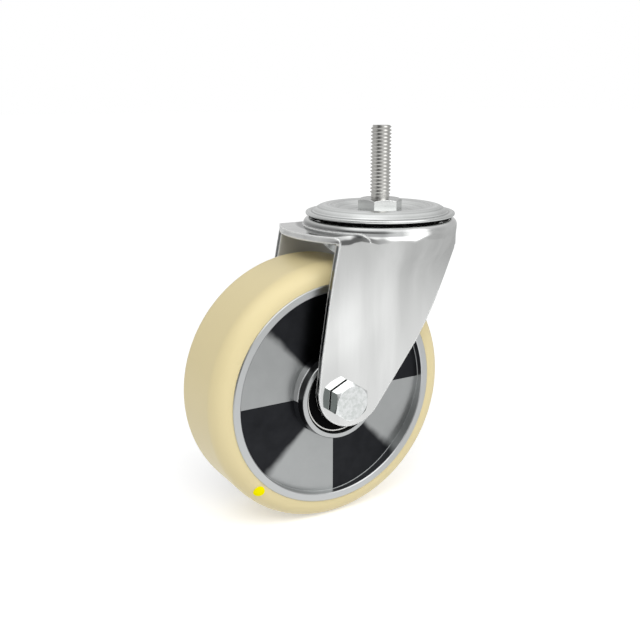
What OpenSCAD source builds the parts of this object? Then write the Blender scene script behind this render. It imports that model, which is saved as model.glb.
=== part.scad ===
// Antistatic stem castor: threaded stem, double ball race head, pressed fork, aluminium wheel
// with a conductive polyurethane tread. Millimetres, +Z up along the stem. The origin is on the
// swivel axis at the mounting shoulder, the top face of the hexagon collar.

/* [Shown part] */
// Name of the sub-part to draw, or all

/* [Stem and hexagon collar] */
// Outside diameter of the stem thread
stem_d = 10; // [8:1:12]
// Length of the stem above the hexagon collar
stem_len = 34.5; // [25:0.5:60]
// Chamfer at the free end of the stem
stem_chamfer = 0.9; // [0.4:0.1:1.5]
// Hexagon collar across flats
hex_af = 19; // [16:0.5:22]
// Height of the hexagon collar
hex_h = 6; // [5:0.5:8]
// Turned chamfer on the corners of the hexagon collar
hex_chamfer = 0.7; // [0.3:0.1:1]
// Angle of a corner of the hexagon collar about the stem
hex_turn = 41; // [0:1:60]
// Diameter of the king pin inside the head
king_d = 16; // [14:0.5:17]
// Diameter of the threaded end of the king pin
king_end_d = 12; // [10:0.5:13]
// Thread of the king pin that stands out of its nut
king_over = 0.7; // [0.4:0.1:1.5]

/* [Top cover] */
// Distance from the crest of the dome out to the edge of the rolled lip
lip_out = 8.6; // [8:0.1:9.4]
// Thickness of the cover sheet
cover_t = 2.5; // [2:0.1:2.6]
// Thickness of the rolled lip
lip_t = 1.6; // [1.2:0.1:2]
// Distance from the pitch circle of the upper balls out to the crest of the dome
crest_out = 0.5; // [0.2:0.1:0.8]
// Height of the crest above the lip
crest_h = 3.1; // [2.6:0.1:3.6]
// Diameter of the flat floor of the centre dish
dish_d = 32; // [26:0.5:35]

/* [Swivel head] */
// Thickness of the fork sheet
sheet = 3; // [2.6:0.1:3.2]
// Diameter of the upper balls
upper_ball_d = 6; // [5.6:0.1:6]
// Pitch diameter of the upper balls
upper_pitch_d = 54; // [52:0.5:54.5]
// Number of upper balls
upper_balls = 20; // [12:1:22]
// Diameter of the lower balls
lower_ball_d = 5; // [4.6:0.1:5.2]
// Pitch diameter of the lower balls
lower_pitch_d = 40; // [38:0.5:41]
// Number of lower balls
lower_balls = 16; // [10:1:18]
// Gap between a ball and its groove
ball_gap = 0.05; // [0.02:0.01:0.08]
// Depth of the grooves pressed for the balls
groove_depth = 0.5; // [0.3:0.05:0.6]
// Thickness of the two ball cages
cage_t = 1.2; // [0.8:0.1:1.5]
// Width of a ball cage beyond its balls, on each side
cage_rim = 0.8; // [0.5:0.1:1.2]
// Diameter of the hole in the crown of the fork
crown_hole_d = 20; // [19:0.5:22]
// Distance from the edge of the upper balls out to the crest of the crown bead
bead_out = 4.9; // [4.6:0.1:5.4]
// Radius of the crown bead
bead_r = 2.1; // [1.8:0.1:2.3]
// Radius of the shoulder between bead and fork side
bead_shoulder = 3; // [2.4:0.1:3.6]
// Gap between the lip of the cover and the crown bead
bead_gap = 1.3; // [1.1:0.1:1.6]
// Gap between the lower ball cage and the wall of the race cup
cup_gap = 1.2; // [0.8:0.1:1.6]
// Thickness of the wall of the race cup
cup_side = 2; // [1.6:0.1:2.4]
// Thickness of the lower race cup
cup_t = 2.5; // [2:0.1:2.8]
// Height of the turned up wall of the lower race cup above its floor
cup_wall = 2.8; // [2:0.1:3.2]
// King nut across flats
king_af = 19; // [17:0.5:20]
// Height of the king nut
king_nut_h = 6.4; // [5:0.2:7]
// Fit of bores on shafts that do not turn
slip = 0.05; // [0.02:0.01:0.1]

/* [Fork] */
// Drop from the race plane to the flat plane of the crown
crown_step = 1.1; // [0.8:0.1:1.6]
// Radius of the bend between crown and legs
bend_r = 3.4; // [3.2:0.1:5]
// Distance from the swivel axis to the back corners of the crown
tongue_side = 39.8; // [38:0.2:43]
// Distance from the swivel axis to the middle of the back edge
tongue_back = 49; // [47:0.5:53]
// Height of the front edge of the fork under the mounting shoulder
skirt_drop = 21; // [18:0.5:24]
// Height where the round crown has run out into the flat legs
bulge_end = 38; // [32:0.5:44]
// Radius of the round end of a leg
leg_r = 17.7; // [15:0.1:20]
// Forward offset of the round end from the axle
leg_end_x = 3.7; // [0:0.1:6]
// Upward offset of the round end from the axle
leg_end_z = 3.9; // [0:0.1:6]

/* [Wheel] */
// Distance of the axle behind the swivel axis
trail = 37; // [34:0.5:42]
// Height of the mounting shoulder above the top of the wheel
wheel_drop = 25; // [24.5:0.5:30]
// Outside diameter of the tread
wheel_d = 125; // [118:1:126]
// Width of the tread
tread_w = 40; // [36:0.5:41]
// Radius of the tread shoulders
shoulder_r = 7.6; // [5:0.1:9]
// Thickness of the tread on the rim
tread_t = 9.2; // [8.6:0.1:12]
// Thickness of the rim ring that carries the tread
rim_wall = 3.7; // [3:0.1:5]
// Width of the aluminium rim
rim_w = 41.4; // [38:0.2:42]
// Depth of the web faces under the rim ring at their ridges
web_depth = 3.4; // [2.5:0.1:5]
// Slope of the eight facets of each web face
facet_tilt = 3; // [1:0.2:4]
// Number of ridges on each web face
ridges = 4; // [3:1:6]
// Diameter of the hub boss at its end
hub_d = 40.6; // [39:0.2:42]
// Length of the hub boss
hub_len = 48.8; // [47.6:0.2:49]
// Diameter of the yellow dot
dot_d = 5.2; // [3:0.2:7]
// Distance of the yellow dot from the edge of the rim
dot_out = 3.8; // [3:0.1:4.4]
// Angle of the yellow dot about the axle
dot_angle = 224; // [0:1:359]
// Height of the yellow dot over the tread side
dot_t = 0.3; // [0.1:0.05:0.5]

/* [Wheel bearings] */
// Outside diameter of a wheel bearing
bearing_d = 35; // [34:0.5:35]
// Bore of a wheel bearing
bearing_bore = 15; // [14.5:0.5:15]
// Width of a wheel bearing
bearing_w = 11; // [10:0.5:11]
// Depth of a bearing face under the end of the hub
bearing_sink = 1.5; // [1:0.1:1.7]
// Wall of the bearing outer ring beside its balls
outer_wall = 2.5; // [2:0.1:2.6]
// Wall of the bearing outer ring round its seal
seal_wall = 1; // [0.8:0.1:1.6]
// Wall of the bearing inner ring at its seal
inner_wall = 2.8; // [2.4:0.1:2.9]
// Depth of the ball grooves in the bearing rings
ball_bite = 0.6; // [0.4:0.05:0.8]
// Number of balls in a bearing
ball_count = 8; // [6:1:9]
// Thickness of a bearing seal
seal_t = 0.8; // [0.5:0.1:1]
// Gap between a seal and the inner ring
seal_gap = 0.3; // [0.2:0.05:0.4]

/* [Axle] */
// Diameter of the axle bolt
bolt_d = 10; // [8:0.5:10]
// Bolt head and lock nut across flats
bolt_af = 16.4; // [15:0.2:18]
// Height of the bolt head
head_h = 6.4; // [5:0.2:8]
// Turn of the bolt head about the axle
head_turn = 4.7; // [0:0.1:30]
// Clearance of the bolt in the axle sleeve
bolt_clear = 0.15; // [0.1:0.05:0.3]
// Thickness of the axle washer
washer_t = 2; // [1.6:0.1:2.5]
// Diameter of the axle washer
washer_d = 21; // [18:0.5:24]
// Height of the lock nut with its nylon ring
nut_h = 10; // [8:0.5:11]
// Height of the nylon ring in the lock nut
insert_h = 3; // [2:0.2:3.4]
// Length of thread that stands out of the lock nut
bolt_over = 2; // [1:0.5:4]
// Length of the distance collars between the bearings and the legs
collar_len = 2.1; // [2:0.1:3.4]
// Diameter of the distance collars
collar_d = 21; // [19:0.5:21]
// Diameter of the spacer between the bearings
spacer_d = 19.6; // [18:0.2:20]

/* [Hidden] */
$fn = 96;
eps = 0.01;
stem_r = stem_d / 2;
king_r = king_d / 2;
king_end_r = king_end_d / 2;
upper_r = upper_pitch_d / 2;
upper_ball_r = upper_ball_d / 2;
lower_r = lower_pitch_d / 2;
lower_ball_r = lower_ball_d / 2;
floor_z = -hex_h;
lip_z = floor_z;
lip_bottom = lip_z - lip_t;
crest_r = upper_r + crest_out;
crest_z = lip_z + crest_h;
cover_under = crest_z - cover_t;
cover_r = crest_r + lip_out;
dish_r = dish_d / 2;
upper_ball_z = cover_under - ball_gap - upper_ball_r;
upper_groove_z = upper_ball_z - upper_ball_r - ball_gap;
race_z = upper_groove_z + groove_depth * 0.6;
race_bottom = race_z - sheet;
lower_ball_z = race_bottom + groove_depth - ball_gap - lower_ball_r;
cup_z = lower_ball_z - lower_ball_r - ball_gap + groove_depth;
cup_bottom = cup_z - cup_t;
cup_r = lower_r + lower_ball_r + cage_rim + cup_gap + cup_side;
king_end_len = cup_t + king_nut_h + king_over;
bead_c = upper_r + upper_ball_r + bead_out;
bead_z = lip_bottom - bead_gap - bead_r;
crown_z = race_z - crown_step;
crown_bottom = crown_z - sheet;
bulge_top = crown_z - 1;
bulge_r = bead_c + bead_r + 0.2;
front_r = bulge_r - 0.3;
wheel_r = wheel_d / 2;
axle_drop = wheel_r + wheel_drop;
axle_x = -trail;
axle_z = -axle_drop;
rim_r = wheel_r - tread_t;
rim_in_r = rim_r - rim_wall;
rim_half = rim_w / 2;
tread_half = tread_w / 2;
dot_r = rim_r + dot_out;
web_half = rim_half - web_depth;
hub_r = hub_d / 2;
hub_half = hub_len / 2;
bearing_r = bearing_d / 2;
bore_r = bearing_bore / 2;
seat_half = hub_half - bearing_sink;
seat_in = seat_half - bearing_w;
outer_in_r = bearing_r - outer_wall;
seal_r = bearing_r - seal_wall;
seal_in = seat_half - seal_t - 0.2;
inner_out_r = bore_r + inner_wall;
pitch_r = (outer_in_r + inner_out_r) / 2;
ball_r = (outer_in_r - inner_out_r) / 2 + ball_bite;
fork_in = seat_half + collar_len;
fork_half = fork_in + sheet;
bolt_r = bolt_d / 2;
sleeve_in_r = bolt_r + bolt_clear;
leg_out = fork_half;
rings = [-1, 1];

// Places its children on the axle with their own z axis along +y.
module at_axle() {
    translate([axle_x, 0, axle_z])
        rotate([-90, 0, 0])
            children();
}

// A flat ring lying on its own z axis.
module ring(r_out, r_in, z0, z1) {
    translate([0, 0, z0])
        difference() {
            cylinder(r = r_out, h = z1 - z0);
            translate([0, 0, -1])
                cylinder(r = r_in, h = z1 - z0 + 2);
        }
}

// A ring whose section is a full circle.
module torus(r_big, r_small) {
    rotate_extrude($fn = 128)
        translate([r_big, 0])
            circle(r = r_small, $fn = 48);
}

// Balls spread evenly on a pitch circle.
module ball_row(count, pitch, r, z) {
    for (i = [0 : count - 1])
        rotate([0, 0, i * 360 / count])
            translate([pitch, 0, z])
                sphere(r = r, $fn = 32);
}

// A flat cage with one round pocket for each ball.
module race_cage(count, pitch, r, z) {
    half = r + cage_rim;
    difference() {
        ring(pitch + half, pitch - half, z - cage_t / 2, z + cage_t / 2);
        for (i = [0 : count - 1])
            rotate([0, 0, i * 360 / count])
                translate([pitch, 0, z - cage_t])
                    cylinder(r = r + 0.1, h = 2 * cage_t, $fn = 32);
    }
}

// A hexagon prism with turned chamfers on the wanted ends.
module hexagon(af, h, low, high) {
    c = af / 2 / cos(30);
    reach = c - af / 2;
    intersection() {
        cylinder(r = c, h = h, $fn = 6);
        rotate_extrude($fn = 96)
            polygon([
                [0, 0],
                [low > 0 ? c - low : c, 0],
                [c, low > 0 ? low * 0.58 : 0],
                [c, high > 0 ? h - high * 0.58 : h],
                [high > 0 ? c - high : c, h],
                [0, h]
            ]);
    }
}

// King pin: stem, hexagon collar and the shank that carries the head.
module threaded_stem() {
    color("#b9bcbc")
        union() {
            translate([0, 0, -1])
                cylinder(r = stem_r, h = stem_len + 1 - stem_chamfer);
            translate([0, 0, stem_len - stem_chamfer])
                cylinder(r1 = stem_r, r2 = stem_r - stem_chamfer, h = stem_chamfer);
            translate([0, 0, floor_z])
                rotate([0, 0, hex_turn])
                    hexagon(hex_af, hex_h, 0, hex_chamfer);
            translate([0, 0, cup_z])
                cylinder(r = king_r, h = floor_z - cup_z + eps);
            translate([0, 0, cup_z - king_end_len + 0.8])
                cylinder(r = king_end_r, h = king_end_len - 0.8 + eps);
            translate([0, 0, cup_z - king_end_len])
                cylinder(r1 = king_end_r - 0.8, r2 = king_end_r, h = 0.8 + eps);
        }
}

// Pressed cover with rolled lip, step, dome and dished centre; its underside is the upper race.
module top_cover() {
    step_r = cover_r - 3.1;
    color("#c4c7c6")
        rotate_extrude($fn = 160)
            polygon(concat(
                [
                    [king_r + slip, floor_z],
                    [dish_r, floor_z],
                    [dish_r + 3.4, floor_z + 0.9],
                    [crest_r - 5.5, crest_z - 0.75],
                    [crest_r - 2.6, crest_z - 0.14],
                    [crest_r, crest_z],
                    [crest_r + 1.7, crest_z - 0.3],
                    [crest_r + 3.4, crest_z - 1.3],
                    [crest_r + 4.8, lip_z + 0.55],
                    [step_r, lip_z - 0.15],
                    [step_r + 0.5, lip_z - 0.15]
                ],
                [for (a = [90 : -18 : -90]) [
                    cover_r - lip_t / 2 + lip_t / 2 * cos(a),
                    lip_z - lip_t / 2 + lip_t / 2 * sin(a)
                ]],
                [
                    [crest_r + 4, lip_bottom],
                    [crest_r + 2.9, cover_under - 1.2],
                    [crest_r + 1, cover_under],
                    [crest_r - 3.5, cover_under],
                    [dish_r + 3, floor_z + 0.6 - cover_t],
                    [dish_r - 0.6, floor_z - cover_t],
                    [king_r + slip, floor_z - cover_t]
                ]
            ));
}

// Soft ring that closes the gap between the cover and the crown bead.
module dust_seal() {
    color("#17181a")
        ring(bead_c - 0.4, bead_c - 2.2, lip_bottom - bead_gap + 0.4, lip_bottom);
}

// Balls of the upper race.
module upper_race_balls() {
    color("#b4b7ba")
        ball_row(upper_balls, upper_r, upper_ball_r, upper_ball_z);
}

// Cage that spaces the upper balls.
module upper_ball_cage() {
    color("#8f8a78")
        race_cage(upper_balls, upper_r, upper_ball_r, upper_ball_z);
}

// Balls of the lower race.
module lower_race_balls() {
    color("#b4b7ba")
        ball_row(lower_balls, lower_r, lower_ball_r, lower_ball_z);
}

// Cage that spaces the lower balls.
module lower_ball_cage() {
    color("#8f8a78")
        race_cage(lower_balls, lower_r, lower_ball_r, lower_ball_z);
}

// Pressed cup that carries the lower balls.
module lower_race_cup() {
    color("#a9adae")
        difference() {
            union() {
                ring(cup_r - 1, king_end_r + slip, cup_bottom, cup_z);
                ring(cup_r, cup_r - cup_side, cup_bottom + 1, cup_z + cup_wall);
                translate([0, 0, cup_bottom + 1])
                    torus(cup_r - 1, 1);
            }
            translate([0, 0, lower_ball_z])
                torus(lower_r, lower_ball_r + ball_gap);
        }
}

// Nut that holds the head together on the king pin.
module king_nut() {
    color("#a6a9ab")
        translate([0, 0, cup_bottom - king_nut_h])
            difference() {
                hexagon(king_af, king_nut_h, 1, 0);
                translate([0, 0, -1])
                    cylinder(r = king_end_r + slip, h = king_nut_h + 2);
            }
}

// Block of the fork: straight sides and a round front, shrunk by a wall thickness.
module fork_block(inset, z0, z1) {
    w = fork_half - inset;
    back = tongue_back + 4;
    intersection() {
        translate([-back, -w, z0])
            cube([back + front_r + 2, 2 * w, z1 - z0]);
        union() {
            translate([-back - 1, -w - 1, z0 - 1])
                cube([back + 1, 2 * w + 2, z1 - z0 + 2]);
            translate([0, 0, z0 - 2])
                cylinder(r = front_r - inset, h = z1 - z0 + 4);
        }
    }
}

// Side view of the fork, drawn about the axle with x forward and y up.
module fork_side() {
    top = axle_drop + crown_z;
    turn = 52;
    union() {
        polygon([
            [leg_end_x, leg_end_z],
            [leg_end_x + leg_r * sin(turn), leg_end_z - leg_r * cos(turn)],
            [39.6, 21.9],
            [45.5, 31.3],
            [50.5, 40.9],
            [56, 53.2],
            [trail + 24.5, axle_drop - skirt_drop],
            [trail + front_r + 2, axle_drop - skirt_drop],
            [trail + front_r + 2, top],
            [trail - tongue_side, top],
            [-5.5, 62],
            [-8.1, 47.8],
            [-12.2, 20.9],
            [leg_end_x - leg_r, leg_end_z]
        ]);
        translate([leg_end_x, leg_end_z])
            circle(r = leg_r, $fn = 96);
    }
}

// The side view made into a block across the whole fork.
module side_block() {
    translate([axle_x, fork_half + 20, axle_z])
        rotate([90, 0, 0])
            linear_extrude(height = 2 * fork_half + 40)
                fork_side();
}

// Radius of the round crown where it runs out into the legs.
function bulge(t) = fork_half - 0.6 + (bulge_r - fork_half + 0.6) * (0.5 + 0.5 * cos(180 * t));

// Turned body of the bulge, smaller by the given wall.
module bulge_body(wall, top) {
    steps = 10;
    depth = bulge_end + crown_z;
    rotate_extrude($fn = 160)
        polygon(concat(
            [[0, -bulge_end - 1], [bulge(1) - wall, -bulge_end - 1]],
            [for (i = [0 : steps]) [bulge(1 - i / steps) - wall, bulge_top - depth * (1 - i / steps)]],
            [[bulge(0) - wall, top], [0, top]]
        ));
}

// Cuts the outer bend along the straight top edge of one leg.
module leg_bend_cut() {
    x0 = -tongue_back - 6;
    x1 = front_r * 0.6;
    translate([x0, fork_half - bend_r, crown_z - bend_r])
        difference() {
            cube([x1 - x0, bend_r + 1, bend_r + 1]);
            translate([-1, 0, 0])
                rotate([0, 90, 0])
                    cylinder(r = bend_r, h = x1 - x0 + 2, $fn = 64);
        }
}

// Outside skin of the pressed legs, crown plane and front, still solid inside.
module fork_skin() {
    difference() {
        intersection() {
            fork_block(0, axle_z - 30, crown_z);
            side_or_tongue();
        }
        for (s = [0, 1])
            mirror([0, s, 0])
                leg_bend_cut();
    }
}

// The side view block together with the block of the curved tongue.
module side_or_tongue() {
    chord = tongue_back - tongue_side;
    arc_r = (fork_half * fork_half + chord * chord) / (2 * chord);
    union() {
        side_block();
        intersection() {
            translate([-tongue_back + arc_r, 0, crown_bottom])
                cylinder(r = arc_r, h = sheet + 1, $fn = 192);
            translate([-tongue_back - 2, -fork_half, crown_bottom])
                cube([tongue_back + 2, 2 * fork_half, sheet + 1]);
        }
    }
}

// Raised bead and pressed race of the crown, one turned section.
module crown_press() {
    foot = bead_c + bead_r;
    crest = bead_z + bead_r - 0.1;
    rotate_extrude($fn = 160)
        union() {
            polygon([
                [crown_hole_d / 2, race_z],
                [bead_c - bead_r - 1.2, race_z],
                [bead_c - bead_r, bead_z],
                [bead_c, crest],
                [foot + 0.2, crest],
                [foot + 0.2, crown_z - 0.6],
                [foot - 1.6, crown_bottom],
                [bead_c - bead_r - 0.4, crown_bottom],
                [bead_c - bead_r - 2.2, race_bottom],
                [crown_hole_d / 2, race_bottom]
            ]);
            translate([bead_c, bead_z])
                circle(r = bead_r, $fn = 48);
        }
}

// Takes the corner off outside the bead, so that it runs into the fork side in a round shoulder.
module shoulder_cut() {
    centre_r = bulge_r - bead_shoulder + 0.05;
    centre_z = bead_z + bead_r - bead_shoulder;
    rotate_extrude($fn = 160)
        translate([centre_r, centre_z])
            difference() {
                square(bead_shoulder + 2);
                circle(r = bead_shoulder, $fn = 64);
            }
}

// Pressed steel fork with round crown, tongue, front skirt and two legs.
module fork() {
    color("#c9cccb")
        difference() {
            union() {
                difference() {
                    union() {
                        fork_skin();
                        intersection() {
                            bulge_body(0, bead_z);
                            side_block();
                            union() {
                                translate([-front_r, fork_in, -bulge_end])
                                    cube([2 * front_r, 20, bulge_end]);
                                translate([-front_r, -fork_in - 20, -bulge_end])
                                    cube([2 * front_r, 20, bulge_end]);
                            }
                        }
                    }
                    fork_block(sheet, axle_z - 40, crown_bottom);
                    bulge_body(sheet, crown_bottom);
                    translate([0, 0, crown_bottom - 1])
                        cylinder(r = bead_c - bead_r - 1, h = 10);
                }
                crown_press();
            }
            shoulder_cut();
            translate([0, 0, upper_groove_z + upper_ball_r + ball_gap])
                torus(upper_r, upper_ball_r + ball_gap);
            translate([0, 0, lower_ball_z])
                torus(lower_r, lower_ball_r + ball_gap);
            translate([axle_x, 0, axle_z])
                rotate([90, 0, 0])
                    cylinder(r = bolt_r + bolt_clear, h = 2 * fork_half + 10, center = true);
        }
}

// Hexagon bolt through both legs; its head is on the near side.
module axle_bolt() {
    end = leg_out + washer_t + nut_h + bolt_over;
    color("#c3c6c8")
        at_axle()
            union() {
                translate([0, 0, -leg_out - head_h])
                    rotate([0, 0, 90 + head_turn])
                        hexagon(bolt_af, head_h, 1, 0);
                translate([0, 0, -leg_out - eps])
                    cylinder(r = bolt_r, h = leg_out + end - 0.8 + eps);
                translate([0, 0, end - 0.8])
                    cylinder(r1 = bolt_r, r2 = bolt_r - 0.8, h = 0.8);
            }
}

// Tube between the legs that carries both bearings.
module axle_sleeve() {
    color("#9ea2a5")
        at_axle()
            ring(bore_r, sleeve_in_r, -fork_in, fork_in);
}

// Tube between the two inner rings.
module bearing_spacer() {
    color("#9ea2a5")
        at_axle()
            ring(spacer_d / 2, bore_r + slip, -seat_in, seat_in);
}

// Distance collar between a bearing and a leg; side is -1 for near and 1 for far.
module collar(side) {
    color("#aeb1b3")
        at_axle()
            mirror([0, 0, side < 0 ? 1 : 0])
                ring(collar_d / 2, bore_r + slip, seat_half, fork_in);
}

// Washer under the lock nut.
module axle_washer() {
    color("#b7babc")
        at_axle()
            ring(washer_d / 2, bolt_r + bolt_clear, leg_out, leg_out + washer_t);
}

// Lock nut on the far leg.
module axle_nut() {
    seat = leg_out + washer_t;
    color("#b7babc")
        at_axle()
            difference() {
                union() {
                    translate([0, 0, seat])
                        hexagon(bolt_af, nut_h - insert_h, 0.8, 0.8);
                    translate([0, 0, seat])
                        cylinder(r = bolt_af / 2 - 0.6, h = nut_h);
                }
                translate([0, 0, seat - 1])
                    cylinder(r = bolt_r + slip, h = nut_h + 2);
                translate([0, 0, seat + nut_h - insert_h])
                    cylinder(r = bolt_r + 1.6, h = insert_h - 0.5);
            }
}

// Nylon ring inside the lock nut.
module nut_insert() {
    seat = leg_out + washer_t + nut_h;
    color("#e4e4de")
        at_axle()
            ring(bolt_r + 1.6 - slip, bolt_r + slip, seat - insert_h + slip, seat - 0.5 - slip);
}

// Inner ring of a wheel bearing.
module inner_ring(side) {
    mid = seat_half - bearing_w / 2;
    color("#a2a6a8")
        at_axle()
            mirror([0, 0, side < 0 ? 1 : 0])
                difference() {
                    ring(inner_out_r, bore_r + slip, seat_in, seat_half);
                    translate([0, 0, mid])
                        torus(pitch_r, ball_r + ball_gap);
                }
}

// Outer ring of a wheel bearing.
module outer_ring(side) {
    mid = seat_half - bearing_w / 2;
    color("#a2a6a8")
        at_axle()
            mirror([0, 0, side < 0 ? 1 : 0])
                difference() {
                    ring(bearing_r, outer_in_r, seat_in, seat_half);
                    translate([0, 0, mid])
                        torus(pitch_r, ball_r + ball_gap);
                    translate([0, 0, seal_in])
                        cylinder(r = seal_r, h = seal_t + 1);
                }
}

// Balls of a wheel bearing.
module bearing_balls(side) {
    mid = seat_half - bearing_w / 2;
    color("#b4b7ba")
        at_axle()
            mirror([0, 0, side < 0 ? 1 : 0])
                ball_row(ball_count, pitch_r, ball_r, mid);
}

// Cage of a wheel bearing.
module bearing_cage(side) {
    mid = seat_half - bearing_w / 2;
    wall = (outer_in_r - inner_out_r) / 2 - 1.1;
    color("#7c6f55")
        at_axle()
            mirror([0, 0, side < 0 ? 1 : 0])
                difference() {
                    ring(pitch_r + wall, pitch_r - wall, mid - ball_r - 0.6, mid + ball_r + 0.6);
                    for (i = [0 : ball_count - 1])
                        rotate([0, 0, i * 360 / ball_count])
                            translate([pitch_r - wall - 1, 0, mid])
                                rotate([0, 90, 0])
                                    cylinder(r = ball_r + 0.1, h = 2 * wall + 2, $fn = 48);
                }
}

// Rubber seal of a wheel bearing.
module seal(side) {
    color("#16171a")
        at_axle()
            mirror([0, 0, side < 0 ? 1 : 0])
                ring(seal_r - slip, inner_out_r + seal_gap, seal_in, seal_in + seal_t);
}

// One ridge of a web face: all below two planes that rise to the ridge.
module ridge_roof() {
    intersection() {
        rotate([facet_tilt, 0, 0])
            translate([-2, -100, -60])
                cube([102, 200, 60]);
        rotate([-facet_tilt, 0, 0])
            translate([-2, -100, -60])
                cube([102, 200, 60]);
    }
}

// Solid of the web with its two faces cut to shallow facets.
module web() {
    intersection() {
        cylinder(r = rim_in_r + 1, h = 2 * web_half, center = true);
        union()
            for (i = [0 : ridges - 1])
                rotate([0, 0, i * 360 / ridges])
                    translate([0, 0, web_half])
                        ridge_roof();
        mirror([0, 0, 1])
            union()
                for (i = [0 : ridges - 1])
                    rotate([0, 0, i * 360 / ridges])
                        translate([0, 0, web_half])
                            ridge_roof();
    }
}

// Aluminium wheel centre: rim ring, faceted web and hub boss with the bearing seats.
module rim() {
    color("#b9bbbb")
        at_axle()
            difference() {
                union() {
                    rotate_extrude($fn = 160)
                        polygon([
                            [rim_in_r, -rim_half + 0.4],
                            [rim_in_r + 0.4, -rim_half],
                            [rim_r - 0.4, -rim_half],
                            [rim_r, -rim_half + 0.4],
                            [rim_r, rim_half - 0.4],
                            [rim_r - 0.4, rim_half],
                            [rim_in_r + 0.4, rim_half],
                            [rim_in_r, rim_half - 0.4]
                        ]);
                    web();
                    rotate_extrude($fn = 128)
                        polygon([
                            [0, -hub_half],
                            [hub_r - 0.4, -hub_half],
                            [hub_r, -hub_half + 0.4],
                            [hub_r + 1, -web_half + 0.9],
                            [hub_r + 2.4, -web_half + 2],
                            [hub_r + 2.4, web_half - 2],
                            [hub_r + 1, web_half - 0.9],
                            [hub_r, hub_half - 0.4],
                            [hub_r - 0.4, hub_half],
                            [0, hub_half]
                        ]);
                }
                translate([0, 0, -hub_half - 1])
                    cylinder(r = outer_in_r, h = hub_len + 2);
                for (s = rings)
                    translate([0, 0, s > 0 ? seat_in : -seat_in - bearing_w - 10])
                        cylinder(r = bearing_r, h = bearing_w + 10);
                for (s = [0, 1])
                    mirror([0, 0, s])
                        translate([0, 0, hub_half - 0.5])
                            cylinder(r1 = bearing_r, r2 = bearing_r + 0.6, h = 0.5 + eps);
            }
}

// Cream conductive tread with rounded shoulders.
module tread() {
    drop = wheel_r - shoulder_r;
    color("#e2d2a4")
        at_axle()
            rotate_extrude($fn = 192)
                union() {
                    translate([rim_r, -tread_half])
                        square([drop - rim_r, tread_w]);
                    translate([rim_r, -tread_half + shoulder_r])
                        square([wheel_r - rim_r, tread_w - 2 * shoulder_r]);
                    for (s = rings)
                        translate([drop, s * (tread_half - shoulder_r)])
                            intersection() {
                                circle(r = shoulder_r, $fn = 96);
                                translate([0, -shoulder_r])
                                    square([shoulder_r, 2 * shoulder_r]);
                            }
                }
}

// Yellow dot that marks the conductive tread, a thin cap that follows the shoulder of the tread.
module antistatic_dot() {
    drop = wheel_r - shoulder_r;
    color("#fdf203")
        intersection() {
            translate([axle_x, 0, axle_z])
                rotate([0, -dot_angle, 0])
                    translate([dot_r, shoulder_r - tread_half, 0])
                        rotate([90, 0, 0])
                            cylinder(d = dot_d, h = shoulder_r + 1, $fn = 48);
            at_axle()
                rotate_extrude($fn = 192)
                    difference() {
                        union() {
                            translate([rim_r, -tread_half - dot_t])
                                square([drop - rim_r, 4]);
                            translate([drop, -tread_half + shoulder_r])
                                circle(r = shoulder_r + dot_t, $fn = 96);
                        }
                        translate([rim_r - 1, -tread_half - slip])
                            square([drop - rim_r + 1, tread_half]);
                        translate([drop, -tread_half + shoulder_r])
                            circle(r = shoulder_r + slip, $fn = 96);
                    }
        }
}

threaded_stem();
top_cover();
dust_seal();
upper_race_balls();
upper_ball_cage();
lower_race_balls();
lower_ball_cage();
lower_race_cup();
king_nut();
fork();
axle_bolt();
axle_sleeve();
bearing_spacer();
collar(-1);  // near_collar
collar(1);  // far_collar
axle_washer();
axle_nut();
nut_insert();
inner_ring(-1);  // near_inner_ring
inner_ring(1);  // far_inner_ring
bearing_balls(-1);  // near_bearing_balls
bearing_balls(1);  // far_bearing_balls
bearing_cage(-1);  // near_bearing_cage
bearing_cage(1);  // far_bearing_cage
outer_ring(-1);  // near_outer_ring
outer_ring(1);  // far_outer_ring
seal(-1);  // near_seal
seal(1);  // far_seal
rim();
tread();
antistatic_dot();
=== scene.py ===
"""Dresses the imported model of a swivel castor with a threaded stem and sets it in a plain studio.

Millimetres are used for every size in this file and become metres only where a mesh, lamp or camera is
made. The origin is on the swivel axis at the mounting shoulder, and +Z runs up along the stem.
"""
import logging
import math
from dataclasses import dataclass
from enum import Enum
from typing import Callable, Iterable, Optional, Sequence, Union

import bmesh
import bpy
from mathutils import Matrix, Vector


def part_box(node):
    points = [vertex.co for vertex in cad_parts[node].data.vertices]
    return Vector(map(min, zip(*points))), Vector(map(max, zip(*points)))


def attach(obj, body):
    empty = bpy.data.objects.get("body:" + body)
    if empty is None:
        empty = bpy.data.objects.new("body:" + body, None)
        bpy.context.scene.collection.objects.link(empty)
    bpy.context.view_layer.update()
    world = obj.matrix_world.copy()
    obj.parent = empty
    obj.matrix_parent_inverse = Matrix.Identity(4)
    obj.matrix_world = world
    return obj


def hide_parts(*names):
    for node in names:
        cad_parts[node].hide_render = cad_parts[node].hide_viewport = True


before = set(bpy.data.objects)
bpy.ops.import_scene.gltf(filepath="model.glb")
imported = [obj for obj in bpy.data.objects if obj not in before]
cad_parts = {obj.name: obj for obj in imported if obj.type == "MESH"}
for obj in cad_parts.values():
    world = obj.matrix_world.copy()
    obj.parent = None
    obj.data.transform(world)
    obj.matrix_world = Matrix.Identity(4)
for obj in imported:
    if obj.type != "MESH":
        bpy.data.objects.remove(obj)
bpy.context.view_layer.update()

MM = 0.001
AXLE = Vector((-37.0, 0.0, -87.5))
FLOOR_Z = -150.0
log = logging.getLogger("castor")

Point = tuple[float, float]
Colour = tuple[float, float, float, float]
Socket = bpy.types.NodeSocket
Tree = bpy.types.NodeTree


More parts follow.
